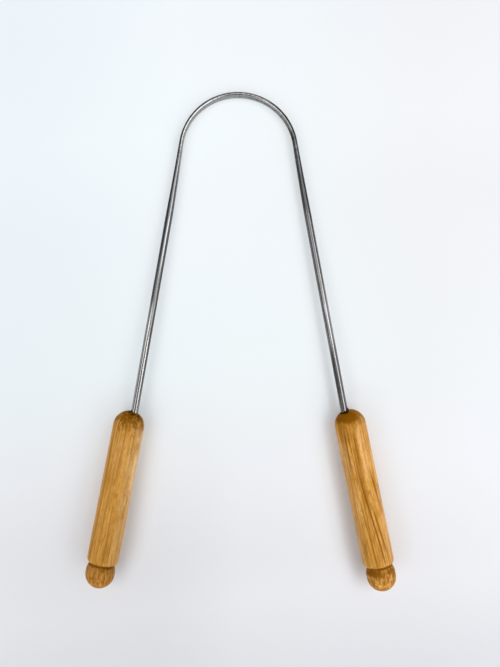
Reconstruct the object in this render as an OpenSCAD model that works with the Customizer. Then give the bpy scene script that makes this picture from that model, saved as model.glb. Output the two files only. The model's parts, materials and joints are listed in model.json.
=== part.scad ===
// Tongue scraper: one bent steel wire, pressed flat at the arch, with a turned wooden handle
// glued on each end. It is laid out as it rests on a table: +Y towards the arch, +X to the
// right, +Z up, with the origin under the middle of the whole object.

/* [Bow] */
// Diameter of the round wire
wire_d = 2.25; // [1.8:0.05:3]
// Radius of the arch, to the middle of the flat band
arch_r = 18.8; // [12:0.05:28]
// Thickness of the flat band
band_t = 1.3; // [0.8:0.05:1.8]
// Height of the flat band, which stands on its edge
band_h = 3.4; // [2.5:0.1:5]
// Angle between each arm and the centre line where the arch ends
arch_splay = 9; // [0:0.5:12]
// Length over which the band turns back into round wire
blend_len = 24; // [12:0.5:32]
// Angle between each straight arm and the centre line
arm_splay = 10; // [5:0.05:15]
// Length of straight wire between the blend and the handle
arm_len = 64.5; // [45:0.5:85]
// Length of wire inside the handle
tang_len = 22; // [12:0.5:30]
// Bevel around the cut end of the wire
tang_bevel = 0.3; // [0.1:0.05:0.5]

/* [Handles] */
// Diameter of the turned body
handle_d = 10; // [8.5:0.1:14]
// Length of the left handle from the tip of its dome to the groove
body_len = 49.3; // [40:0.1:70]
// How much longer the body of the right handle is
right_body_extra = 1.5; // [0:0.1:4]
// Angle between each handle and the centre line
handle_splay = 11; // [6:0.05:16]
// Radius that rounds the body down to the groove
rim_r = 2.4; // [1.5:0.1:4]
// Diameter where the body and the ball meet
neck_d = 8; // [6.5:0.1:8.2]
// Width of the tool mark turned into the neck
groove_w = 0.9; // [0.5:0.1:1.4]
// Depth of that mark below the neck
groove_depth = 0.2; // [0.1:0.05:0.4]
// Diameter of the ball
ball_d = 9.3; // [8.6:0.1:12]
// Extra length turned into the ball of the left handle
left_ball_extra = 0.6; // [0:0.1:4]
// Extra length turned into the ball of the right handle
right_ball_extra = 1.1; // [0:0.1:4]

/* [Glued joint] */
// Space for adhesive around the wire, if the wire were in the middle of its hole
glue_gap = 0.35; // [0.15:0.05:0.5]
// How far the wire sits off the middle of its hole, towards the other handle
wire_shift = 0.25; // [0:0.05:0.3]
// How far the middle of the hole is from the handle's axis, towards the other handle
hole_shift = 0.75; // [0:0.05:1.2]
// Depth of hole left under the end of the wire
hole_spare = 2; // [0.5:0.1:4]
// Point angle of the drill
drill_point = 118; // [90:1:140]
// How far the adhesive stays below the tip of the dome
glue_recess = 1; // [0.6:0.1:2]

/* [Hidden] */
$fn = 64;
// Facets around the blend, and rings along it
blend_sides = 32;
blend_rings = 12;
// The blend wraps the ends of the arch and of the arm, and stands this little proud of them
blend_lap = 0.05;
blend_skin = 0.01;
// Overrun of every cut
over = 0.5;

steel = [0.62, 0.62, 0.63];
wood = [0.79, 0.56, 0.29];
glue = [0.30, 0.17, 0.07];

handle_r = handle_d / 2;
ball_r = ball_d / 2;
neck_r = neck_d / 2;
hole_r = wire_d / 2 + glue_gap;
hole_depth = tang_len + hole_spare;

// The rim arc leaves the body at rim_start, and both it and the ball pass through the neck
function rim_start(body) = body - sqrt(pow(rim_r, 2) - pow(rim_r - handle_r + neck_r, 2));
ball_rise = sqrt(pow(ball_r, 2) - pow(neck_r, 2));

left_body = body_len;
right_body = body_len + right_body_extra;

// Directions in the plane of the bow: along an arm or handle, and across it, outwards
function along(splay) = [sin(splay), -cos(splay), 0];
function across(splay) = [cos(splay), sin(splay), 0];
function mix(a, b, t) = a + (b - a) * t;

// Right-hand centre line: the arch is centred on the origin, the blend turns from one
// splay to the other, and the wire enters its handle at the mouth
arch_end = arch_r * across(arch_splay);
function blend_turn(t) = mix(along(arch_splay), along(arm_splay), t);
function blend_point(t) = arch_end + blend_len * t * blend_turn(t / 2);
arm_start = blend_point(1);
mouth = arm_start + arm_len * along(arm_splay);
handle_tip = mouth + (wire_shift + hole_shift) * across(handle_splay);
function handle_point(s) = handle_tip + s * along(handle_splay);

// The scraper rests on the lower edge of the arch and on the domes of both handles,
// so the plane of the bow leans until one line touches both rounds from below
edge_r = band_t / 2;
edge_drop = band_h / 2 - edge_r;
dome_middle = handle_point(handle_r);
rest_span = arch_r - dome_middle.y;
lean = asin((handle_r - edge_r) / norm([rest_span, edge_drop])) - atan2(edge_drop, rest_span);
lift = handle_r + dome_middle.y * sin(lean);

// Middle of the whole object, seen from above
function ball_middle(body, extra) = handle_point(body + ball_rise + extra);
function rim_side(body) = handle_point(rim_start(body)) + handle_r * across(handle_splay);
function reach_out(body, extra) = max(ball_middle(body, extra).x + ball_r, rim_side(body).x);
reach_front = arch_r * cos(lean) + edge_drop * sin(lean) + edge_r;
ends = [ball_middle(left_body, left_ball_extra).y, ball_middle(right_body, right_ball_extra).y];
reach_back = min(ends) * cos(lean) - ball_r;
middle = [(reach_out(right_body, right_ball_extra) - reach_out(left_body, left_ball_extra)) / 2,
          (reach_front + reach_back) / 2,
          -lift];

// Puts what is drawn flat, in the plane of the bow, at rest on the table
module at_rest() {
    translate(-middle) rotate([-lean, 0, 0]) children();
}

module left_side() {
    mirror([1, 0, 0]) children();
}

// Turns +Z down an arm or handle that starts at a point, with +X outwards
module from(point, splay) {
    translate(point) rotate([90, 0, splay]) children();
}

// Section of the flat band: two round edges joined by flat faces
module band_section() {
    square([band_t, 2 * edge_drop], center = true);
    for (y = [-edge_drop, edge_drop])
        translate([0, y]) circle(r = edge_r);
}

module arch() {
    rotate([0, 0, arch_splay])
        rotate_extrude(angle = 180 - 2 * arch_splay)
            translate([arch_r, 0]) band_section();
}

// One point of the blend: t runs along it, a goes round the section
function blend_surface(t, a) =
    let (r = mix(edge_r, wire_d / 2, t) + blend_skin, spread = mix(edge_drop, 0, t),
         turn = blend_turn(t), side = [-turn.y, turn.x, 0] / norm(turn))
    blend_point(t) + r * cos(a) * side + [0, 0, r * sin(a) + sign(sin(a)) * spread];

// The flat band, swelling and rounding into the wire
module blend() {
    n = blend_sides;
    lap = blend_lap / blend_len;
    points = [for (k = [0:blend_rings], i = [0:n - 1])
              blend_surface(mix(-lap, 1 + lap, k / blend_rings), (i + 0.5) * 360 / n)];
    walls = [for (k = [0:blend_rings - 1], i = [0:n - 1])
             let (j = (i + 1) % n, a = k * n, b = a + n)
             [a + i, b + i, b + j, a + j]];
    start = [[for (i = [0:n - 1]) i]];
    end = [[for (i = [n - 1:-1:0]) blend_rings * n + i]];
    polyhedron(points, concat(walls, start, end), convexity = 4);
}

// Straight wire: the arm that shows, and the tang with its bevelled end
module arm() {
    straight = arm_len + tang_len - tang_bevel;
    from(arm_start, arm_splay) {
        cylinder(d = wire_d, h = straight);
        translate([0, 0, straight])
            cylinder(d1 = wire_d, d2 = wire_d - 2 * tang_bevel, h = tang_bevel);
    }
}

module half_bow() {
    blend();
    arm();
}

module scraper_bow() {
    color(steel) at_rest() {
        arch();
        half_bow();
        left_side() half_bow();
    }
}

// Half outline of a handle, with its axis on Y and the tip of the dome at zero
module handle_outline(body, ball_extra) {
    rim_y = rim_start(body);
    ball_y = body + ball_rise;
    difference() {
        intersection() {
            union() {
                translate([0, handle_r]) circle(r = handle_r);
                translate([0, handle_r]) square([handle_r, rim_y - handle_r]);
                translate([handle_r - rim_r, rim_y]) circle(r = rim_r);
                translate([0, rim_y]) square([neck_r, ball_y - rim_y]);
                translate([0, ball_y]) circle(r = ball_r);
                if (ball_extra > 0) {
                    translate([0, ball_y]) square([ball_r, ball_extra]);
                    translate([0, ball_y + ball_extra]) circle(r = ball_r);
                }
            }
            square([handle_r + ball_r, ball_y + ball_extra + ball_r]);
        }
        translate([neck_r - groove_depth + groove_w / 2, body]) circle(d = groove_w);
    }
}

// The drilled hole, drawn along its own axis from the mouth inwards
module drilled_hole(start) {
    translate([0, 0, start]) cylinder(r = hole_r, h = hole_depth - start);
    translate([0, 0, hole_depth])
        cylinder(r1 = hole_r, r2 = 0, h = hole_r / tan(drill_point / 2));
}

// The hole runs beside the wire, which lies against its inner side
module at_hole() {
    from(mouth + wire_shift * across(arm_splay), arm_splay) children();
}

module right_hand_handle(body, ball_extra) {
    difference() {
        from(handle_tip, handle_splay) rotate_extrude() handle_outline(body, ball_extra);
        at_hole() drilled_hole(-over);
    }
}

// Cured adhesive: what the wire leaves free in its hole
module right_hand_bond() {
    difference() {
        at_hole() drilled_hole(glue_recess);
        arm();
    }
}

module right_handle() {
    color(wood) at_rest() right_hand_handle(right_body, right_ball_extra);
}

module left_handle() {
    color(wood) at_rest() left_side() right_hand_handle(left_body, left_ball_extra);
}

module right_bond() {
    color(glue) at_rest() right_hand_bond();
}

module left_bond() {
    color(glue) at_rest() left_side() right_hand_bond();
}

scraper_bow();
left_handle();
right_handle();
left_bond();
right_bond();
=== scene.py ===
import json
import math
import bmesh
import bpy
from mathutils import Matrix, Vector, noise


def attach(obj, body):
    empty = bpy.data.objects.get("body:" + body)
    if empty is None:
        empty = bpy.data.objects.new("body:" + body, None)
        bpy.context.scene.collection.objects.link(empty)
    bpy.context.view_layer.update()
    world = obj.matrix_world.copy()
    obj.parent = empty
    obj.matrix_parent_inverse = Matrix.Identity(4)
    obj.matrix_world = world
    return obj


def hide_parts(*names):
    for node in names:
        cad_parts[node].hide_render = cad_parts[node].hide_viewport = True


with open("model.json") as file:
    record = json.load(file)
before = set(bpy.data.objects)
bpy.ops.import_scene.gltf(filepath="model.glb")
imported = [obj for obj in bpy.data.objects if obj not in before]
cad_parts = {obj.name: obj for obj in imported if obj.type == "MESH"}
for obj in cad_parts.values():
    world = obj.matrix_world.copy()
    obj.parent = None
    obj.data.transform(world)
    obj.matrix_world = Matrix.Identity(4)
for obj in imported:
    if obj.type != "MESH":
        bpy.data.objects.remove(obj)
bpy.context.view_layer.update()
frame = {"nodes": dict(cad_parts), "record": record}

# Tongue scraper: a bent steel wire, pressed flat at the arch and glued into two turned handles.
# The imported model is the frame. Each piece is remade finer in its place, with its own finish.
mounts = {mount["name"]: mount for mount in frame["record"]["mounts"]}
mm = 0.001               # sizes in the dictionaries are millimetres and degrees
sharpAngle = 50          # an edge sharper than this stays crisp
nodeSpacing = 200        # between the nodes of a material, for whoever opens it
sides = {"left": -1, "right": 1}
print("frame: %d nodes loaded" % len(frame["nodes"]))


# Small helpers for meshes

def placement(x, y, z, origin):
    # the matrix with these axes and this origin
    matrix = Matrix((x, y, z)).transposed().to_4x4()
    matrix.translation = origin
    return matrix


def unevenAt(spot):
    # smooth noise, 0 to 1
    return 0.5 + 0.5 * noise.noise(Vector(spot))


def skin(ringCount, roundCount):
    # quads between neighbouring rings, each ring closed on itself
    faces = []
    for ring in range(ringCount - 1):
        for i in range(roundCount):
            j = (i + 1) % roundCount
            a = ring * roundCount
            b = a + roundCount
            faces.append((a + i, b + i, b + j, a + j))
    return faces


def fan(ring, roundCount, tip):
    # triangles from one ring to the point that closes it
    start = ring * roundCount
    return [(start + i, tip, start + (i + 1) % roundCount) for i in range(roundCount)]


def closedSkin(rings, firstTip, lastTip):
    # one skin over all the rings, drawn to a point at each end
    count = len(rings[0])
    points = [point for ring in rings for point in ring] + [firstTip, lastTip]
    faces = skin(len(rings), count)
    faces += fan(0, count, len(points) - 2)
    faces += fan(len(rings) - 1, count, len(points) - 1)
    return points, faces


def addPiece(node, name, material, points, faces, attribute, local):
    # local: for each point, its place in the piece's own frame, which drives the finish
    mesh = bpy.data.meshes.new(name)
    mesh.from_pydata([point * mm for point in points], [], faces)
    places = mesh.attributes.new(attribute, "FLOAT_VECTOR", "POINT")
    places.data.foreach_set("vector", [part for point in local for part in point])
    shape = bmesh.new()
    shape.from_mesh(mesh)
    bmesh.ops.recalc_face_normals(shape, faces=shape.faces)
    shape.to_mesh(mesh)
    shape.free()
    mesh.shade_smooth()
    mesh.set_sharp_from_angle(angle=math.radians(sharpAngle))
    mesh.materials.append(material)
    piece = bpy.data.objects.new(name, mesh)
    bpy.context.scene.collection.objects.link(piece)
    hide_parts(node)
    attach(piece, "root")
    return piece


# Small helpers for materials

def newFinish(name):
    material = bpy.data.materials.new(name)
    material.use_nodes = True
    material.node_tree.nodes.clear()
    return material, material.node_tree


def put(tree, kind, sockets=None, **settings):
    node = tree.nodes.new(kind)
    node.location.x = nodeSpacing * len(tree.nodes)
    for key, value in settings.items():
        setattr(node, key, value)
    for key, value in (sockets or {}).items():
        if isinstance(value, bpy.types.NodeSocket):
            tree.links.new(value, node.inputs[key])
        else:
            node.inputs[key].default_value = value
    return node


def surface(tree, sockets):
    shader = put(tree, "ShaderNodeBsdfPrincipled", sockets)
    put(tree, "ShaderNodeOutputMaterial", {"Surface": shader.outputs["BSDF"]})


def placeIn(tree, attribute):
    # each point's place in its piece's own frame, whole and in parts
    place = put(tree, "ShaderNodeAttribute", attribute_name=attribute).outputs["Vector"]
    return place, put(tree, "ShaderNodeSeparateXYZ", {0: place}).outputs


def reckon(tree, operation, *values):
    return put(tree, "ShaderNodeMath", dict(enumerate(values)), operation=operation).outputs[0]


def lengthOf(tree, vector):
    return put(tree, "ShaderNodeVectorMath", {0: vector}, operation="LENGTH").outputs["Value"]


def between(tree, value, start, end, low=0.0, high=1.0):
    # low up to the start, high from the end on, and a smooth change from one to the other
    sockets = {"Value": value, "From Min": start, "From Max": end, "To Min": low, "To Max": high}
    node = put(tree, "ShaderNodeMapRange", sockets, interpolation_type="SMOOTHSTEP")
    return node.outputs["Result"]


def strip(tree, value, begin, finish, soft):
    # one between two places, fading to nothing outside them
    rise = between(tree, value, begin - soft, begin + soft)
    return reckon(tree, "MULTIPLY", rise, between(tree, value, finish + soft, finish - soft))


def stray(tree, value, unevenness, reach):
    # a place that wanders by up to half of a reach, one way or the other
    start = reckon(tree, "SUBTRACT", value, reach / 2)
    return reckon(tree, "MULTIPLY_ADD", unevenness, reach, start)


def blendColours(tree, share, first, second, mode="MIX"):
    first, second = ((*part, 1) if isinstance(part, tuple) else part for part in (first, second))
    sockets = {0: share, 6: first, 7: second}
    return put(tree, "ShaderNodeMix", sockets, data_type="RGBA", blend_type=mode).outputs[2]


def grainNoise(tree, place, stretch, detail, roughness, turn=(0, 0, 0)):
    # noise with so many features per millimetre along each axis
    stretched = put(tree, "ShaderNodeMapping", {
        "Vector": place, "Scale": stretch, "Rotation": [math.radians(angle) for angle in turn]})
    return put(tree, "ShaderNodeTexNoise", {
        "Vector": stretched.outputs["Vector"], "Scale": 1.0, "Detail": detail,
        "Roughness": roughness}).outputs["Fac"]


def ramp(tree, value, stops):
    stops = list(stops)
    node = put(tree, "ShaderNodeValToRGB", {"Fac": value})
    elements = node.color_ramp.elements
    while len(elements) < len(stops):
        elements.new(0.5)
    for element, (position, colour) in zip(elements, stops):
        element.position = position
        element.color = (*colour, 1) if isinstance(colour, tuple) else (colour, colour, colour, 1)
    return node.outputs["Color"]


def relief(tree, height, strength, depth):
    sockets = {"Strength": strength, "Distance": depth * mm, "Height": height}
    return put(tree, "ShaderNodeBump", sockets).outputs["Normal"]


def fromScreen(red, green, blue):
    # a colour as a screen shows it, 0 to 255, in the linear values that shaders use
    linear = []
    for part in (red, green, blue):
        part /= 255
        linear.append(part / 12.92 if part <= 0.04045 else ((part + 0.055) / 1.055) ** 2.4)
    return tuple(linear)


# The steel bow. Its plane passes through the middle of the band, X to the right, Y to the crown

bow = {
    "wireDiameter": 2.25,
    "archRadius": 18.8,          # to the middle of the band
    "bandThickness": 1.3,
    "bandHeight": 3.4,
    "archSplay": 9,              # from the centre line, where the arch ends
    "blendLength": 24,           # over which the band turns back into round wire
    "armSplay": 10,
    "armLength": 64.5,           # of straight wire, as far as the mouth of the hole
    "tangLength": 22,            # of wire inside the handle
    "tangBevel": 0.3,
    "step": 0.6,                 # between the rings of the mesh
    "straightStep": 1.2,
    "pointsRound": 48,
    "rollRipple": 0.03,          # how far the pressing leaves the edges of the band uneven
    "ripplePitch": 0.45,         # ripples per millimetre
    "rippleSeed": (3, 7),        # the first tells the upper edge from the lower
}

crown = mounts["hanging_arch"]
rightward = Vector((1, 0, 0))
toHandles = Vector(crown["axis"])
upward = rightward.cross(-toHandles)
innerRadius = bow["archRadius"] - bow["bandThickness"] / 2
archMiddle = Vector(crown["pos_m"]) / mm + toHandles * innerRadius
bowPlace = placement(rightward, -toHandles, upward, archMiddle)


def along(splay):
    return Vector((math.sin(math.radians(splay)), -math.cos(math.radians(splay)), 0))


def across(splay):
    return Vector((math.cos(math.radians(splay)), math.sin(math.radians(splay)), 0))


def blendTurn(share):
    return along(bow["archSplay"]).lerp(along(bow["armSplay"]), share)


def blendPoint(share):
    archEnd = bow["archRadius"] * across(bow["archSplay"])
    return archEnd + bow["blendLength"] * share * blendTurn(share / 2)


armStart = blendPoint(1)
mouth = armStart + bow["armLength"] * along(bow["armSplay"])


def rightHalf():
    # from the crown to the end of the right tang: centre, outward, edge radius, half of the flat
    edge = bow["bandThickness"] / 2
    flat = bow["bandHeight"] / 2 - edge
    wire = bow["wireDiameter"] / 2
    quarter = 90 - bow["archSplay"]
    stations = []
    count = round(math.radians(quarter) * bow["archRadius"] / bow["step"])
    for k in range(count + 1):
        outward = across(90 - quarter * k / count)
        stations.append((bow["archRadius"] * outward, outward, edge, flat))
    count = round(bow["blendLength"] / bow["step"])
    for k in range(1, count + 1):
        share = k / count
        turn = blendTurn(share).normalized()
        outward = Vector((-turn.y, turn.x, 0))
        radius = edge + (wire - edge) * share
        stations.append((blendPoint(share), outward, radius, flat * (1 - share)))
    down, outward = along(bow["armSplay"]), across(bow["armSplay"])
    length = bow["armLength"] + bow["tangLength"] - bow["tangBevel"]
    count = round(length / bow["straightStep"])
    for k in range(1, count + 1):
        stations.append((armStart + down * length * k / count, outward, wire, 0))
    end = armStart + down * (length + bow["tangBevel"])
    stations.append((end, outward, wire - bow["tangBevel"], 0))
    return stations


def makeBow(material):
    right = rightHalf()
    flip = Vector((-1, 1, 1))
    left = [
        (centre * flip, outward * flip, radius, flat)
        for centre, outward, radius, flat in reversed(right)]
    stations = left + right[1:]
    walked = [0.0]
    for k in range(1, len(stations)):
        walked.append(walked[-1] + (stations[k][0] - stations[k - 1][0]).length)
    half = walked[-1] / 2
    tallest = bow["bandHeight"] / 2 - bow["bandThickness"] / 2
    edgeSeed, seed = bow["rippleSeed"]
    count = bow["pointsRound"]
    points, straightened = [], []
    for (centre, outward, radius, flat), distance in zip(stations, walked):
        for i in range(count):
            angle = math.tau * (i + 0.5) / count
            upper = math.copysign(1, math.sin(angle))
            ripple = unevenAt((distance * bow["ripplePitch"], edgeSeed * upper, seed))
            uneven = bow["rollRipple"] * ripple * flat / tallest
            sideways = (radius - uneven) * math.cos(angle)
            rise = (radius - uneven) * math.sin(angle) + flat * upper
            points.append(bowPlace @ (centre + sideways * outward + Vector((0, 0, rise))))
            straightened.append((distance - half, sideways, rise))
    faces = skin(len(stations), count)
    faces.append(tuple(range(count)))
    faces.append(tuple(range(len(points) - count, len(points))))
    return addPiece(
        "scraper_bow", "scraperBow", material, points, faces, "alongWire", straightened)


# The turned handles, drilled and glued. Each has its own frame: Z down its axis from the tip of
# the dome, X to the right

handle = {
    "diameter": 10,
    "bodyLength": {"left": 49.3, "right": 50.8},  # tip of the dome to the groove
    "rimRadius": 2.4,
    "neckDiameter": 8,
    "grooveWidth": 0.9,
    "grooveDepth": 0.2,
    "grooveShares": (-0.7, -0.35, 0, 0.35, 0.7),  # its points, in half widths from its middle
    "grooveSlope": 1.2,          # how fast it gets shallower towards its sides
    "grooveClear": 0.8,          # half widths that the rim keeps clear of it
    "ballDiameter": 9.3,
    "ballExtra": {"left": 0.6, "right": 1.1},     # length turned into the middle of the ball
    "ballEnd": 178,              # angle at which the ball's last ring stands
    "pointsRound": 128,
    "rings": {"dome": 24, "body": 70, "rim": 12, "ballTop": 12, "ball": 26},
    "unevenness": 0.05,          # how far the turning strays inside the true radius
    "strayPitch": (0.12, 0.12, 0.35),
    "straySeed": 40,
}
hole = {
    "glueGap": 0.35,
    "wireShift": 0.25,           # of the hole's middle, outwards from the wire's
    "spare": 2,                  # depth left under the end of the wire
    "drillPoint": 118,
    "softEdge": 0.12,            # the edge of the hole, worn round
    "softMiddle": 0.3,           # where the ring within that rounding stands
}
bond = {
    "recess": 1,                 # from the mouth down to the face, at the wire's inner side
    "clearance": 0.01,           # from the wood
    "sag": 1.8,                  # how far the face sinks between wire and wood, for its width
    "climb": {"left": 0.35, "right": 0.95},       # adhesive that stands on the wire's outer side
    "climbHeading": 20,          # where it stands highest, from straight outwards
    "climbNarrow": 1.5,
    "climbCurve": 1.6,
    "overEdge": 1.5,             # how deep it lies at the wood, in worn edges
    "pointsRound": 64,
    "faceRings": 8,
}
holeRadius = bow["wireDiameter"] / 2 + hole["glueGap"]
holeDepth = bow["tangLength"] + hole["spare"]
drillTip = holeRadius / math.tan(math.radians(hole["drillPoint"] / 2))


def handlePlace(side):
    grip = mounts[side + "_grip"]
    down = Vector(grip["axis"])
    reach = grip["dims"]["length_mm"] / 2 + handle["diameter"] / 2
    tip = Vector(grip["pos_m"]) / mm - down * reach
    toRight = upward.cross(down).normalized()
    return placement(toRight, down.cross(toRight), down, tip)


def arc(middle, height, radius, start, end, count):
    # points of an arc as (distance down the axis, radius), angles from the axis
    turned = []
    for k in range(count + 1):
        angle = math.radians(start + (end - start) * k / count)
        turned.append((middle - radius * math.cos(angle), height + radius * math.sin(angle)))
    return turned


def handleOutline(side):
    # from the foot of the dome to the end of the ball
    body, neck, ball = (handle[key] / 2 for key in ("diameter", "neckDiameter", "ballDiameter"))
    length, rim, extra = handle["bodyLength"][side], handle["rimRadius"], handle["ballExtra"][side]
    rings = handle["rings"]
    drop = math.degrees(math.acos(1 - (body - neck) / rim))
    rimStart = length - rim * math.sin(math.radians(drop))
    outline = [(body + (rimStart - body) * k / rings["body"], body) for k in range(rings["body"])]
    outline += arc(rimStart, body - rim, rim, 90, 90 + drop, rings["rim"])
    reach = handle["grooveWidth"] / 2
    outline = [point for point in outline if point[0] < length - reach * handle["grooveClear"]]
    for share in handle["grooveShares"]:
        depth = handle["grooveDepth"] * (1 - handle["grooveSlope"] * abs(share))
        outline.append((length + share * reach, neck - depth))
    rise = math.sqrt(ball ** 2 - neck ** 2)
    start = math.degrees(math.acos((rise - reach) / ball))
    outline += arc(length + rise, 0, ball, start, 90, rings["ballTop"])
    lower = arc(length + rise + extra, 0, ball, 90, handle["ballEnd"], rings["ball"])
    outline += lower if extra else lower[1:]
    return outline, length + rise + extra + ball


def holeEdge(radius, start, run):
    # where a cylinder round the hole's axis comes out through the dome
    middle = Vector((0, 0, handle["diameter"] / 2))
    u = Vector((0, 1, 0)).cross(run).normalized()
    v = run.cross(u)
    edge = []
    for i in range(handle["pointsRound"]):
        angle = math.tau * i / handle["pointsRound"]
        point = start + radius * (math.cos(angle) * u + math.sin(angle) * v)
        b = (point - middle).dot(run)
        c = (point - middle).length_squared - middle.z ** 2
        edge.append(point + run * (-b - math.sqrt(b * b - c)))
    return edge


def holeRings(start, run):
    # from the bottom of the drilled hole up to its worn edge
    soft, part = hole["softEdge"], hole["softMiddle"]
    wide = holeEdge(holeRadius + soft, start, run)
    edge = holeEdge(holeRadius, start, run)
    bottom = [point + run * (holeDepth - (point - start).dot(run)) for point in edge]
    return [
        bottom,
        [low.lerp(high, 0.5) for low, high in zip(bottom, edge)],
        [point + run * soft * 2 for point in edge],
        [point + run * soft for point in edge],
        [inner.lerp(outer, part) + run * soft * part for inner, outer in zip(edge, wide)],
        wide]


def onDome(rise, heading):
    radius = handle["diameter"] / 2
    level = math.sin(rise)
    return Vector((0, 0, radius)) + radius * Vector((
        level * math.cos(heading), level * math.sin(heading), -math.cos(rise)))


def domeRings(edge, phase):
    # from the edge of the hole round the dome to its foot
    middle = Vector((0, 0, handle["diameter"] / 2))
    start = [(point - middle).normalized() for point in edge]
    turns = [phase]
    for point in start[1:]:
        step = math.atan2(point.y, point.x) - turns[-1]
        turns.append(turns[-1] + (step + math.pi) % math.tau - math.pi)
    rings = []
    count = handle["rings"]["dome"]
    for ring in range(1, count + 1):
        share = ring / count
        turned = []
        for i, point in enumerate(start):
            foot = phase + math.tau * i / len(start)
            rise = math.acos(-point.z) * (1 - share) + math.pi / 2 * share
            turned.append(onDome(rise, turns[i] + (foot - turns[i]) * share))
        rings.append(turned)
    return rings


def turnedRing(radius, down, phase):
    count = handle["pointsRound"]
    headings = [phase + math.tau * i / count for i in range(count)]
    return [Vector((radius * math.cos(turn), radius * math.sin(turn), down)) for turn in headings]


def makeHandle(side, material):
    place = handlePlace(side)
    toLocal = place.inverted()
    flip = Vector((sides[side], 1, 1))
    start = toLocal @ (bowPlace @ ((mouth + hole["wireShift"] * across(bow["armSplay"])) * flip))
    run = (toLocal.to_3x3() @ (bowPlace.to_3x3() @ (along(bow["armSplay"]) * flip))).normalized()
    rings = holeRings(start, run)
    holeCount = len(rings)
    first = rings[-1][0]
    phase = math.atan2(first.y, first.x)
    rings += domeRings(rings[-1], phase)
    outline, length = handleOutline(side)
    rings += [turnedRing(radius, down, phase) for down, radius in outline[1:]]
    pitch = Vector(handle["strayPitch"])
    seed = Vector((0, 0, handle["straySeed"] * sides[side]))
    for ring in rings[holeCount:]:
        for point in ring:
            flat = Vector((point.x, point.y, 0))
            straying = unevenAt(point * pitch + seed)
            point -= flat * handle["unevenness"] * straying / (handle["diameter"] / 2)
    points, faces = closedSkin(rings, start + run * (holeDepth + drillTip), Vector((0, 0, length)))
    placed = [place @ point for point in points]
    return addPiece(
        side + "_handle", side + "Handle", material, placed, faces, "insideWood", points)


def makeBond(side, material):
    # cured adhesive: it fills the hole round the tang, and its face sinks between wire and wood
    flip = Vector((sides[side], 1, 1))
    wire = bow["wireDiameter"] / 2
    shift = hole["wireShift"]
    reach = holeRadius - bond["clearance"]
    down, outward = along(bow["armSplay"]), across(bow["armSplay"])

    def at(angle, radius, depth):
        spot = mouth + outward * radius * math.cos(angle) + down * depth
        return spot * flip + Vector((0, 0, radius * math.sin(angle)))

    def width(angle):
        return shift * math.cos(angle) + math.sqrt(reach ** 2 - (shift * math.sin(angle)) ** 2)

    def faceDepth(angle, share):
        # share: from the wire, 0, to the wood, 1
        sag = bond["sag"] * share * (1 - share) * (width(angle) - wire)
        facing = max(0.0, math.cos(angle - math.radians(bond["climbHeading"])))
        outer = facing ** bond["climbNarrow"]
        proud = hole["softEdge"] * bond["overEdge"] * share
        proud -= bond["climb"][side] * (1 - share) ** bond["climbCurve"]
        return (bond["recess"] + sag) * (1 - outer) + proud * outer

    angles = [math.tau * i / bond["pointsRound"] for i in range(bond["pointsRound"])]
    rings = [[at(angle, wire, bow["tangLength"]) for angle in angles]]
    for k in range(bond["faceRings"] + 1):
        share = k / bond["faceRings"]
        rings.append([
            at(angle, wire + (width(angle) - wire) * share, faceDepth(angle, share))
            for angle in angles])
    rings.append([at(angle, width(angle), holeDepth) for angle in angles])
    wireEnd, holeEnd = at(0, 0, bow["tangLength"]), at(0, shift, holeDepth + drillTip)
    points, faces = closedSkin(rings, wireEnd, holeEnd)
    placed = [bowPlace @ point for point in points]
    return addPiece(
        side + "_bond", side + "Bond", material, placed, faces, "insideGlue", points)


# Finishes

steel = {
    "bright": (0.425, 0.42, 0.42),
    "dull": (0.065, 0.065, 0.067),
    "warm": (0.46, 0.41, 0.36),  # a faint straw tint in places
    "mirror": (0.75, 0.74, 0.73),
    "edgeOn": (0.8, 0.12),       # how much the bright and the dull metal mirror when seen edge-on
    "rough": (0.16, 0.30),
    "relief": (0.25, 0.02),      # of the drawn lines: strength and depth
    # each noise: features per millimetre along the wire, across it and up, detail and roughness
    "lines": ((0.02, 2.0, 2.0), 3, 0.6),
    "fineLines": ((0.02, 5, 5), 2, 0.5),
    "brushStrokes": ((3.2, 0.4, 0.3), 2, 0.5),
    "patches": ((0.12, 0.6, 0.6), 2, 0.5),
    # each change: where it starts and is complete, and what it gives before and after
    "wornLines": (0.45, 0.65, 0, 0.75),
    "paintedDarkFlanks": (0.75, 1.12, 0, 0.75),         # painted dark reflection on the wire's sides, in millimetres from the middle of the wire
    "brushing": (0.4, 0.6, -0.2, 0.1),
    "straw": (0.5, 0.75, 0, 0.6),
    "streakiness": 0.9,
    "brushed": (-34, 34, 4.0),   # from and to along the wire, and how softly it ends
    "frayed": (16.0, 6.0),       # how far the ends of a patch stray, and how softly they fade
    "ragged": (0.6, 0.12),       # the same for its sides
    # painted dark reflections: patches that darken the steel where the light it mirrors should
    # look dimmer, from and to along the wire, the same across it, and how dark
    "paintedDarkReflections": {
        "leftArm": ((-82, -20), (-0.12, 1.4), 0.95),
        "leftShine": ((-74, -44), (-1.0, 0.3), 0.45),
        "leftShoulder": ((-57, -36), (-1.0, 0.3), 0.6),
        "leftFoot": ((-126, -88), (-0.1, 0.16), 0.85),
        "rightArm": ((20, 53), (-1.4, 1.0), 0.95),
        "rightMiddle": ((44, 76), (-1.4, 0.9), 0.75),
        "rightElbow": ((70, 79), (-1.4, 1.4), 0.76),
        "rightFoot": ((94, 116), (-1.4, -0.3), 0.9),
        "rightShine": ((92, 126), (0.1, 1.4), 0.6),
        "outerLeft": ((-34, -7), (0.0, 1.4), 1.0),
        "outerCrown": ((-12, 12), (0.15, 1.4), 0.6),
        "outerRight": ((8, 46), (-0.2, 1.4), 1.0),
        "innerEdge": ((12, 34), (-1.4, -0.25), 0.4),
    },
    # painted highlights: places given a brighter mirror, so that the light they reflect shows
    # brighter, written the same way
    "paintedHighlights": {"leftFoot": ((-126, -94), (-0.56, -0.12), 0.9)},
}


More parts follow.
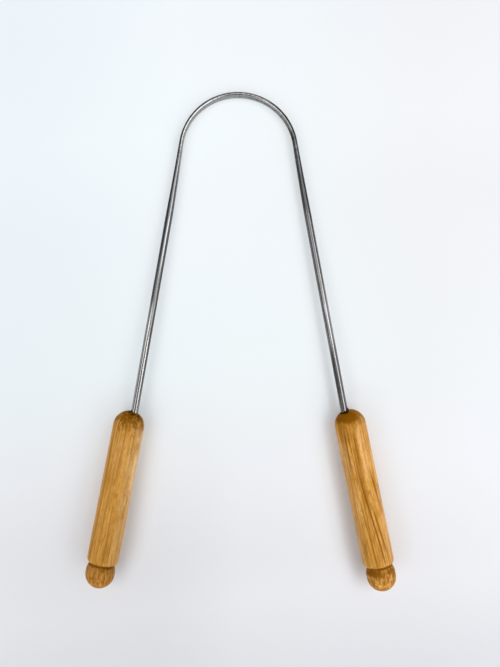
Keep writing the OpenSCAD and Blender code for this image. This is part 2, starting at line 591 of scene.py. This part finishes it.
def steelFinish():
    material, tree = newFinish("drawnSteel")
    place, parts = placeIn(tree, "alongWire")
    lines = grainNoise(tree, place, *steel["lines"])
    fineLines = grainNoise(tree, place, *steel["fineLines"])
    strokes = grainNoise(tree, place, *steel["brushStrokes"])
    patches = grainNoise(tree, place, *steel["patches"])
    endStray, endFade = steel["frayed"]
    sideStray, sideFade = steel["ragged"]
    frayed = stray(tree, parts["X"], patches, endStray)
    ragged = stray(tree, parts["Y"], lines, sideStray)

    def patch(lengthwise, crosswise, depth):
        length = strip(tree, frayed, *lengthwise, endFade)
        width = strip(tree, ragged, *crosswise, sideFade)
        return reckon(tree, "MULTIPLY", reckon(tree, "MULTIPLY", length, width), depth)

    # painted dark reflection: the sides of the wire are darker than its crest
    paintedDarkFlanks = between(tree, reckon(tree, "ABSOLUTE", parts["Y"]), *steel["paintedDarkFlanks"])
    dark = reckon(tree, "MAXIMUM", between(tree, lines, *steel["wornLines"]), paintedDarkFlanks)
    # the painted dark reflections, laid over the steel
    for where in steel["paintedDarkReflections"].values():
        dark = reckon(tree, "MAXIMUM", dark, patch(*where))
    brushed = strip(tree, parts["X"], *steel["brushed"])
    dark = reckon(tree, "MULTIPLY_ADD", between(tree, strokes, *steel["brushing"]), brushed, dark)
    streaks = reckon(tree, "SUBTRACT", reckon(tree, "ADD", fineLines, lines), 1.0)
    dark = reckon(tree, "MULTIPLY_ADD", streaks, steel["streakiness"], dark)
    straw = between(tree, patches, *steel["straw"])
    clean = blendColours(tree, straw, steel["bright"], steel["warm"])
    colour = blendColours(tree, dark, clean, steel["dull"])
    # the painted highlights: a brighter mirror
    for where in steel["paintedHighlights"].values():
        colour = blendColours(tree, patch(*where), colour, steel["mirror"])
    smooth, coarse = steel["rough"]
    surface(tree, {
        "Base Color": colour,
        "Metallic": 1.0,
        "Specular Tint": between(tree, dark, 0, 1, *steel["edgeOn"]),
        "Roughness": reckon(tree, "MULTIPLY_ADD", patches, coarse - smooth, smooth),
        "Normal": relief(tree, lines, *steel["relief"])})
    return material


glueLook = {
    "cloudy": fromScreen(70, 38, 20),
    "dark": fromScreen(30, 16, 10),
    "darkAtMouth": fromScreen(38, 16, 8),  # near-black wood round the mouth of the hole
    "clouds": ((1.5, 1.5, 1.5), 2, 0.5),
    "relief": (0.3, 0.1),
    "rough": 0.22,
    "ior": 1.5,
}


def glueFinish():
    material, tree = newFinish("curedAdhesive")
    clouds = grainNoise(tree, placeIn(tree, "insideGlue")[0], *glueLook["clouds"])
    surface(tree, {
        "Base Color": blendColours(tree, clouds, glueLook["dark"], glueLook["cloudy"]),
        "Roughness": glueLook["rough"],
        "IOR": glueLook["ior"],
        "Normal": relief(tree, clouds, *glueLook["relief"])})
    return material


# The wood: what both handles share, and then each by itself
beech = {
    # each noise: features per millimetre across, through and along the grain, detail and roughness
    "noises": {
        "wander": ((0.25, 0.25, 0.03), 2, 0.5),
        "fibres": ((1.6, 1.6, 0.08), 4, 0.7),
        "pores": ((1.7, 1.7, 0.45), 3, 0.75),
        "patches": ((0.5, 0.5, 0.16), 3, 0.7),
        "flame": ((1.3, 1.3, 0.4), 3, 0.7),
        "mottle": ((1.0, 1.0, 0.5), 4, 0.78),
    },
    "streaks": ((1.2, 1.2, 0.03), 3, 0.65),
    # each change: where it starts and is complete, and what it gives before and after
    "paleFibres": (0.36, 0.64),
    "darkStreaks": (0.47, 0.64),
    "darkPores": (0.50, 0.62, 0, 0.4),
    "shading": (0.60, 0.3, 0, 0.3),
    "wornAndSheenPatchiness": (0.2, 0.6),
    "strokes": (0.49, 0.57),
    "strokeDepth": 0.65,
    "glints": (0.44, 0.36),
    # from early to late wood
    "rings": ((0.0, 0.15), (0.45, 0.0), (0.86, 0.9), (0.93, 1.0), (1.0, 0.15)),
    "ringWander": 2.2,           # in ring widths
    "veinWander": 0.8,
    "veinEdge": (1.6, 0.3),      # where a vein starts and is complete, in its own widths
    "fade": 3.0,                 # along the grain, where a vein, a worn place or painted sheen ends
    "rubbedFade": 0.9,           # across it, for the worn places and the painted sheen
    # down the handle, from the groove: where the ball starts, and where its end face does
    "ballStart": (-0.5, 1),
    "endFace": (4.6, 7.4),
    "endStrokes": 0.3,           # how much of the strokes is left on the end face
    "endRings": 0.6,
    # end grain, with painted shade on the dome's cap and under the rim: how ragged the dark of the
    # dome is, and how soft, and the same for the stains
    "tip": (1.8, 0.6),
    "stainsAndShade": (1.0, 0.45),
    "glued": (0.3, 0.2),
    "neck": (2.0, -0.4, 0.3),    # how far the dark of the groove strays, its start, its softness; it is end grain with painted shade under the rim
    "ballStray": 5.0,
    "ballEnd": (5.0, 8.0, 0, 0.6),
    "rough": (0.36, 0.61),
    "ior": 1.45,
    "shine": 0.20,               # of bare wood, falling to none on end grain and on the painted shade
    "relief": (0.35, 0.06),
    "fibreRelief": 0.6,          # the fibres' part of it, the rest is the pores'
}
wood = {
    "left": {
        "pale": fromScreen(230, 171, 84),
        "base": fromScreen(208, 148, 56),
        "streak": fromScreen(156, 98, 15),
        "endGrainAndShade": fromScreen(128, 77, 0),
        # the pale of worn wood, also used for the painted sheen
        "worn": fromScreen(252, 210, 150),
        "pith": (-14, -34, 0),
        "lean": 0.2,
        "ringWidth": 1.9,
        "ringDepth": 0.2,
        "streakDepth": 0.45,
        "ragged": 2.6,           # how uneven the stains' edges are
        "neck": (0.75, 0.5),     # how dark the groove is, end grain with painted shade under the rim, and how far past it that reaches
        "ball": (0.38, 0.15),    # how much darker the ball is, and how far its glints show
        # each vein: its place across at the dome and its lean, where it starts and ends, its
        # width and how dark
        "veins": (
            (-3.85, 0, 8, 49, 0.22, 0.7),
            (-3.45, 0, 12, 40, 0.18, 0.5),
            (-2.75, 0, 5, 45, 0.2, 0.3),
            (-0.1, 0, 2, 22, 0.3, 0.45),
            (0.5, 0, 31, 49, 0.2, 0.6),
            (1.5, 0, 41, 49, 0.2, 0.5),
            (2.15, 0, 42, 49, 0.22, 0.55),
            (-1.9, 0, 30, 49, 0.3, 0.25),
            (2.9, 0, 6, 20, 0.25, 0.3)),
        # each spot: its place across and down the handle, half width, half length, how dark
        # the dark cap of the dome: end grain, with painted shade where the dome faces away from
        # the lamps
        "tip": ((0.6, 0.3, 5.2, 4.4, 0.94),),
        "stainsAndShade": (
            (-1.2, 0.8, 1.3, 1.0, 0.85),
            (-0.1, 1.6, 1.1, 0.9, 0.8),
            (3.1, 1.9, 1.0, 1.1, 0.9),
            (2.3, 3.3, 1.3, 1.2, 0.45),
            (-0.9, 2.8, 1.4, 1.0, 0.35),
            (4.2, 4.6, 0.8, 1.4, 0.5)),
        # near-black spots round the mouth of the hole
        "glued": (
            (-0.25, 0.25, 0.5, 0.4, 0.9),
            (0.9, 0.9, 0.8, 0.35, 0.7),
            (2.6, 1.3, 0.4, 0.35, 0.6)),
        # each pale place, partly worn wood and partly painted sheen along the edges of the handle:
        # from and to across the handle, from and to down it, and how pale
        "wornAndSheen": (
            ((3.7, 5.6), (5.5, 30), 0.7),
            ((2.2, 5.6), (4, 36), 0.3),
            ((2.4, 5.6), (36, 48), 0.2),
            ((-2.6, 2.4), (8, 19), 0.1)),
    },
    "right": {
        "pale": fromScreen(244, 186, 96),
        "base": fromScreen(219, 151, 37),
        "streak": fromScreen(148, 87, 0),
        "endGrainAndShade": fromScreen(136, 80, 0),
        # the pale of worn wood, also used for the painted sheen
        "worn": fromScreen(246, 196, 140),
        "pith": (16, -30, 0),
        "lean": 2.0,
        "ringWidth": 1.7,
        "ringDepth": 0.25,
        "streakDepth": 0.5,
        "ragged": 1.3,
        # the groove: end grain with painted shade under the rim
        "neck": (0.72, 0.5),
        "ball": (0.15, 0.6),
        "veins": (
            (-3.15, 0, 7, 19, 0.28, 0.9),
            (-2.1, 0.5, 4, 24, 0.2, 0.6),
            (-0.4, 0, 7, 18, 0.24, 0.9),
            (-3.0, 5.0, 22, 49, 0.28, 1.0),
            (-4.4, 3.6, 26, 50, 0.25, 0.6),
            (-3.0, 7.0, 32, 46, 0.26, 0.95),
            (1.0, 4.5, 21, 32, 0.28, 0.95),
            (-4.1, 0.3, 16, 29, 0.2, 0.6),
            (-5.6, 2.5, 28, 46, 0.2, 0.4),
            (-1.3, 1.0, 14, 30, 0.25, 0.5),
            (0.2, 3.0, 40, 50, 0.2, 0.5),
            (2.2, 1.0, 38, 50, 0.18, 0.45),
            (-0.75, 1.5, 19, 33, 0.45, 0.5)),
        # the dark cap of the dome: end grain, with painted shade where the dome faces away from
        # the lamps
        "tip": ((0.5, 0.4, 6.6, 4.3, 0.66),),
        "stainsAndShade": (
            (-1.0, 2.0, 4.6, 2.4, 0.95),
            (-0.6, 2.1, 3.2, 1.7, 0.7),
            (-3.2, 4.2, 0.7, 1.8, 0.6),
            (-2.5, 7.0, 1.8, 3.8, 0.38),
            # painted shade under the rim, with end grain: the dark at the top of the ball
            (-2.8, 52.1, 2.2, 1.15, 0.85),
            (-0.9, 52.7, 1.4, 0.9, 0.6),
            (2.6, 52.3, 1.8, 0.8, 0.75),
            (3.7, 53.0, 0.6, 1.5, 0.6)),
        # near-black spots round the mouth of the hole
        "glued": (
            (-1.5, 0.75, 1.3, 0.35, 0.9),
            (-0.35, 0.1, 0.5, 0.5, 1.0)),
        "wornAndSheen": (
            ((1.4, 4.6), (4.5, 21), 0.3),
            ((0.6, 1.6), (6, 22), 0.5),
            ((-2.8, -2.2), (15, 30), 0.45),
            ((2.6, 4.8), (26, 49), 0.3),
            ((-5.4, -3.4), (8, 48), 0.2),
            ((1.0, 3.4), (54, 58), 0.3)),
    },
}


def growthRings(tree, place, wander, look):
    # dark towards the late wood of each ring, round a pith outside the handle
    turned = put(tree, "ShaderNodeMapping", {
        "Vector": place, "Location": look["pith"], "Rotation": (0, math.radians(look["lean"]), 0)})
    flat = put(tree, "ShaderNodeVectorMath", {
        0: turned.outputs["Vector"], 1: (1, 1, 0)}, operation="MULTIPLY")
    count = reckon(tree, "DIVIDE", lengthOf(tree, flat.outputs[0]), look["ringWidth"])
    count = reckon(tree, "ADD", count, reckon(tree, "MULTIPLY", wander, beech["ringWander"]))
    return ramp(tree, reckon(tree, "FRACT", count), beech["rings"])


def addFibres(tree, place, grain, rings, look):
    streaks = grainNoise(tree, place, *beech["streaks"], turn=(0, look["lean"], 0))
    colour = blendColours(
        tree, between(tree, grain["fibres"], *beech["paleFibres"]), look["base"], look["pale"])
    darker = (
        between(tree, streaks, *beech["darkStreaks"], 0, look["streakDepth"]),
        reckon(tree, "MULTIPLY", rings, look["ringDepth"]),
        between(tree, grain["pores"], *beech["darkPores"]))
    for amount in darker:
        colour = blendColours(tree, amount, colour, look["streak"])
    return colour


def addVeins(tree, colour, parts, wander, look):
    wobble = stray(tree, parts["X"], wander, beech["veinWander"])
    outer, inner = beech["veinEdge"]
    for start, lean, begin, finish, width, depth in look["veins"]:
        middle = reckon(tree, "MULTIPLY_ADD", parts["Z"], math.tan(math.radians(lean)), start)
        beside = reckon(tree, "ABSOLUTE", reckon(tree, "SUBTRACT", wobble, middle))
        length = strip(tree, parts["Z"], begin, finish, beech["fade"])
        amount = between(tree, beside, width * outer, width * inner, 0, depth)
        vein = reckon(tree, "MULTIPLY", length, amount)
        colour = blendColours(tree, vein, colour, look["streak"])
    return colour


def addWornAndSheen(tree, colour, parts, patches, look):
    # pale places: worn wood, and painted sheen along the handle's edges
    for (begin, finish), (top, foot), depth in look["wornAndSheen"]:
        length = strip(tree, parts["Z"], top, foot, beech["fade"])
        soft = min(beech["rubbedFade"], (finish - begin) / 2)
        wornAndSheen = reckon(tree, "MULTIPLY", strip(tree, parts["X"], begin, finish, soft), length)
        amount = between(tree, patches, *beech["wornAndSheenPatchiness"], 0, depth)
        colour = blendColours(tree, reckon(tree, "MULTIPLY", wornAndSheen, amount), colour, look["worn"])
    return colour


def addBall(tree, colour, pastGroove, flame, rings, look):
    # the ball is cut across its fibres: they show as short strokes, and on its end as rings
    shade, shine = look["ball"]
    onBall = reckon(tree, "MULTIPLY", between(tree, pastGroove, *beech["ballStart"]),
                    between(tree, pastGroove, *beech["endFace"], 1, beech["endStrokes"]))
    strokes = between(tree, flame, *beech["strokes"], shade, shade + beech["strokeDepth"])
    colour = blendColours(tree, reckon(tree, "MULTIPLY", strokes, onBall), colour, look["streak"])
    glints = between(tree, flame, *beech["glints"], 0, shine)
    colour = blendColours(tree, reckon(tree, "MULTIPLY", glints, onBall), colour, look["pale"])
    onEnd = between(tree, pastGroove, *beech["endFace"], 0, beech["endRings"])
    return blendColours(tree, reckon(tree, "MULTIPLY", rings, onEnd), colour, look["streak"])


def stained(tree, place, mottle, look, key):
    # how strongly a set of spots shows, each an ellipse with a ragged edge
    raggedness, soft = beech[key]
    raggedness *= look["ragged"]
    ragged = reckon(tree, "MULTIPLY_ADD", mottle, raggedness, -raggedness / 2)
    strongest = 0.0
    for sideways, down, halfWidth, halfLength, depth in look[key]:
        reach = put(tree, "ShaderNodeVectorMath", {
            0: place,
            1: (1 / halfWidth, 0, 1 / halfLength),
            2: (-sideways / halfWidth, 0, -down / halfLength)}, operation="MULTIPLY_ADD")
        spread = reckon(tree, "ADD", lengthOf(tree, reach.outputs[0]), ragged)
        spot = between(tree, spread, 1 + soft, 1 - soft, 0, depth)
        strongest = reckon(tree, "MAXIMUM", strongest, spot)
    return strongest


def endGrainAndShade(tree, place, pastGroove, mottle, look):
    # end grain drinks more oil, and painted shade darkens the dome's cap and the groove under the
    # rim: darker at the dome, at the groove and at the end of the ball
    depth, reach = look["neck"]
    straying, start, soft = beech["neck"]
    # the groove: end grain with painted shade under the rim
    neck = strip(tree, stray(tree, pastGroove, mottle, straying), start, reach, soft)
    oiledAndShaded = (
        reckon(tree, "MULTIPLY", neck, depth),
        between(tree, stray(tree, pastGroove, mottle, beech["ballStray"]), *beech["ballEnd"]),
        stained(tree, place, mottle, look, "stainsAndShade"))
    # the dome's dark cap: end grain with painted shade
    strongest = stained(tree, place, mottle, look, "tip")
    for amount in oiledAndShaded:
        strongest = reckon(tree, "MAXIMUM", strongest, amount)
    return strongest


def woodFinish(side):
    look = wood[side]
    material, tree = newFinish(side + "Beech")
    place, parts = placeIn(tree, "insideWood")
    pastGroove = reckon(tree, "SUBTRACT", parts["Z"], handle["bodyLength"][side])
    grain = {name: grainNoise(tree, place, *values) for name, values in beech["noises"].items()}
    rings = growthRings(tree, place, grain["wander"], look)
    colour = addFibres(tree, place, grain, rings, look)
    colour = addVeins(tree, colour, parts, grain["wander"], look)
    colour = addWornAndSheen(tree, colour, parts, grain["patches"], look)
    shading = between(tree, grain["patches"], *beech["shading"])
    colour = blendColours(tree, shading, colour, look["streak"])
    colour = addBall(tree, colour, pastGroove, grain["flame"], rings, look)
    # the dark of end grain, together with painted shade on the dome's cap and under the rim
    ends = endGrainAndShade(tree, place, pastGroove, grain["mottle"], look)
    colour = blendColours(tree, ends, colour, look["endGrainAndShade"])
    # near-black spots round the mouth of the hole
    darkAtMouth = stained(tree, place, grain["mottle"], look, "glued")
    smooth, coarse = beech["rough"]
    poreHeight = reckon(tree, "MULTIPLY", grain["pores"], 1 - beech["fibreRelief"])
    height = reckon(tree, "MULTIPLY_ADD", grain["fibres"], beech["fibreRelief"], poreHeight)
    surface(tree, {
        "Base Color": blendColours(tree, darkAtMouth, colour, glueLook["darkAtMouth"]),
        "Roughness": reckon(tree, "MULTIPLY_ADD", grain["fibres"], coarse - smooth, smooth),
        "IOR": beech["ior"],
        "Specular IOR Level": reckon(tree, "MULTIPLY_ADD", ends, -beech["shine"], beech["shine"]),
        "Normal": relief(tree, height, *beech["relief"])})
    return material


makeBow(steelFinish())
print("bow: one steel wire, from tang to tang")
glue = glueFinish()
for side in sides:
    makeHandle(side, woodFinish(side))
    makeBond(side, glue)
    print("%s handle: turned, drilled and glued" % side)


# Studio: a pale table, a pale horizon, lamps far off and a camera above

studio = {
    "tableRadius": 1700,
    "tableCorners": 180,
    # a light table with painted light and shade: it glows, and its glow and what it reflects
    # change from place to place, from beyond the arch to below the handles: the place, what it
    # reflects and its glow
    "table": (
        (320, (0.34, 0.36, 0.375), (0.36, 0.375, 0.38)),
        (105, (0.40, 0.43, 0.45), (0.40, 0.41, 0.417)),
        (70, (0.40, 0.43, 0.45), (0.445, 0.463, 0.463)),
        (40, (0.41, 0.44, 0.455), (0.433, 0.448, 0.462)),
        (-8, (0.53, 0.57, 0.59), (0.332, 0.344, 0.342)),
        (-45, (0.85, 0.865, 0.895), (0.0, 0.0, 0.0)),
        (-85, (0.84, 0.845, 0.875), (0.0, 0.0, 0.0)),
        (-112, (0.73, 0.735, 0.765), (0.0, 0.0, 0.0)),
        (-230, (0.68, 0.69, 0.71), (0.0, 0.0, 0.0))),
    "tableSlant": -0.1,          # how far those places lean to one side
    "tableRough": 0.9,
    "tableShine": 0.2,
    # from left to right: the place, and what multiplies its glow and what it reflects
    "tableSides": (
        (-260, (0.89, 0.91, 0.945), 0.78),
        (-90, (0.89, 0.91, 0.945), 1.0),
        (-72, (0.89, 0.91, 0.945), 1.0),
        (-20, (1.0, 1.0, 1.0), 1.0),
        (20, (0.97, 0.96, 0.95), 1.0),
        (62, (0.955, 0.86, 0.86), 1.0),
        (95, (0.955, 0.86, 0.86), 1.0),
        (260, (0.955, 0.86, 0.86), 0.78)),
    "horizon": (0.86, 0.89, 0.92),
    "room": (0.22, 0.23, 0.24),
    "horizonTop": (0.14, 0.22),  # where it ends and where the room begins, as sines of the height
    "lampDistance": 2600,
    # heading from +X anticlockwise, height above the table, width and length as seen from it,
    # and how bright its face is, where 1 is white
    "lamps": {
        "ceilingPanel": {"heading": -84, "height": 72, "width": 96, "length": 80, "glow": 2.25},
        "rightStrip": {"heading": 0, "height": 61, "width": 8, "length": 50, "glow": 3.4},
    },
    # dark cards, unseen by the camera, that shade the table and darken what the steel mirrors
    "cardColour": (0.05, 0.05, 0.05, 1),
    "cardRough": 0.8,
    "cards": {
        "phoneCard": {"left": -100, "right": 95, "near": -230, "far": 14, "height": 262},
        "handsCard": {"left": -60, "right": 60, "near": -140, "far": -15, "height": 130},
    },
}
view = {
    "picture": (500, 667),       # in pixels, as are the next two
    "focalLength": 750,
    "shift": 16,
    "sensor": 36,
    "place": (-7.2, -0.99, 246.44),
    "tilt": (0.676, -1.245, -0.259),
    "nearest": 10,
}


def spread(places):
    # where each place lies between the first and the last, 0 to 1
    return [(place - places[0]) / (places[-1] - places[0]) for place in places]


def shareOf(tree, value, places):
    # the same for a shader's value in metres
    first, last = places[0] * mm, places[-1] * mm
    return reckon(tree, "MULTIPLY_ADD", value, 1 / (last - first), -first / (last - first))


def makeTable():
    mesh = bpy.data.meshes.new("table")
    radius, count = studio["tableRadius"] * mm, studio["tableCorners"]
    turns = [math.tau * i / count for i in range(count)]
    rim = [(radius * math.cos(turn), radius * math.sin(turn), 0) for turn in turns]
    mesh.from_pydata(rim, [], [tuple(range(count))])
    table = bpy.data.objects.new("table", mesh)
    bpy.context.scene.collection.objects.link(table)
    material, tree = newFinish("tableTop")
    place = put(tree, "ShaderNodeTexCoord").outputs["Object"]
    parts = put(tree, "ShaderNodeSeparateXYZ", {0: place}).outputs
    slanted = reckon(tree, "MULTIPLY_ADD", parts["X"], studio["tableSlant"], parts["Y"])
    places, colours, glows = zip(*studio["table"])
    sideways, glowChanges, colourChanges = zip(*studio["tableSides"])
    nearness = shareOf(tree, slanted, places)
    sideShare = shareOf(tree, parts["X"], sideways)

    def changing(values, changes):
        lengthwise = ramp(tree, nearness, zip(spread(places), values))
        crosswise = ramp(tree, sideShare, zip(spread(sideways), changes))
        return blendColours(tree, 1.0, lengthwise, crosswise, "MULTIPLY")

    surface(tree, {
        "Base Color": changing(colours, colourChanges),
        "Emission Color": changing(glows, glowChanges),
        "Emission Strength": 1.0,
        "Roughness": studio["tableRough"],
        "Specular IOR Level": studio["tableShine"]})
    mesh.materials.append(material)


def makeCards():
    material, tree = newFinish("darkCard")
    surface(tree, {"Base Color": studio["cardColour"], "Roughness": studio["cardRough"]})
    for name, card in studio["cards"].items():
        mesh = bpy.data.meshes.new(name)
        corners = [(card["left"], card["near"]), (card["right"], card["near"]),
                   (card["right"], card["far"]), (card["left"], card["far"])]
        points = [Vector((x, y, card["height"])) * mm for x, y in corners]
        mesh.from_pydata(points, [], [(0, 1, 2, 3)])
        mesh.materials.append(material)
        piece = bpy.data.objects.new(name, mesh)
        bpy.context.scene.collection.objects.link(piece)
        piece.visible_camera = False


def makeLamps():
    distance = studio["lampDistance"] * mm
    for name, lamp in studio["lamps"].items():
        heading, height = math.radians(lamp["heading"]), math.radians(lamp["height"])
        level = math.cos(height)
        away = Vector((level * math.cos(heading), level * math.sin(heading), math.sin(height)))
        short = Vector((0, 1, 0)).cross(away).normalized()
        lengthways = away.cross(short)
        light = bpy.data.lights.new(name, "AREA")
        light.shape = "RECTANGLE"
        light.size = 2 * distance * math.tan(math.radians(lamp["width"] / 2))
        light.size_y = 2 * distance * math.tan(math.radians(lamp["length"] / 2))
        light.energy = lamp["glow"] * math.pi * light.size * light.size_y
        stand = bpy.data.objects.new(name, light)
        stand.matrix_world = placement(short, lengthways, away, away * distance)
        bpy.context.scene.collection.objects.link(stand)


def makeRoom():
    world = bpy.data.worlds.new("room")
    world.use_nodes = True
    tree = world.node_tree
    direction = put(tree, "ShaderNodeTexCoord").outputs["Generated"]
    height = put(tree, "ShaderNodeSeparateXYZ", {0: direction}).outputs["Z"]
    top, roomFoot = studio["horizonTop"]
    colour = ramp(tree, height, [(top, studio["horizon"]), (roomFoot, studio["room"])])
    tree.links.new(colour, tree.nodes["Background"].inputs["Color"])
    bpy.context.scene.world = world


def makeCamera():
    longest = max(view["picture"])
    camera = bpy.data.cameras.new("camera")
    camera.sensor_width = view["sensor"]
    camera.lens = view["focalLength"] * view["sensor"] / longest
    camera.shift_x = view["shift"] / longest
    camera.clip_start = view["nearest"] * mm
    eye = bpy.data.objects.new("camera", camera)
    eye.location = Vector(view["place"]) * mm
    eye.rotation_euler = [math.radians(angle) for angle in view["tilt"]]
    bpy.context.scene.collection.objects.link(eye)
    bpy.context.scene.camera = eye


makeTable()
makeCards()
makeLamps()
makeRoom()
makeCamera()
bpy.context.scene.view_settings.view_transform = "Standard"
print("studio: table, lamps, room and camera")
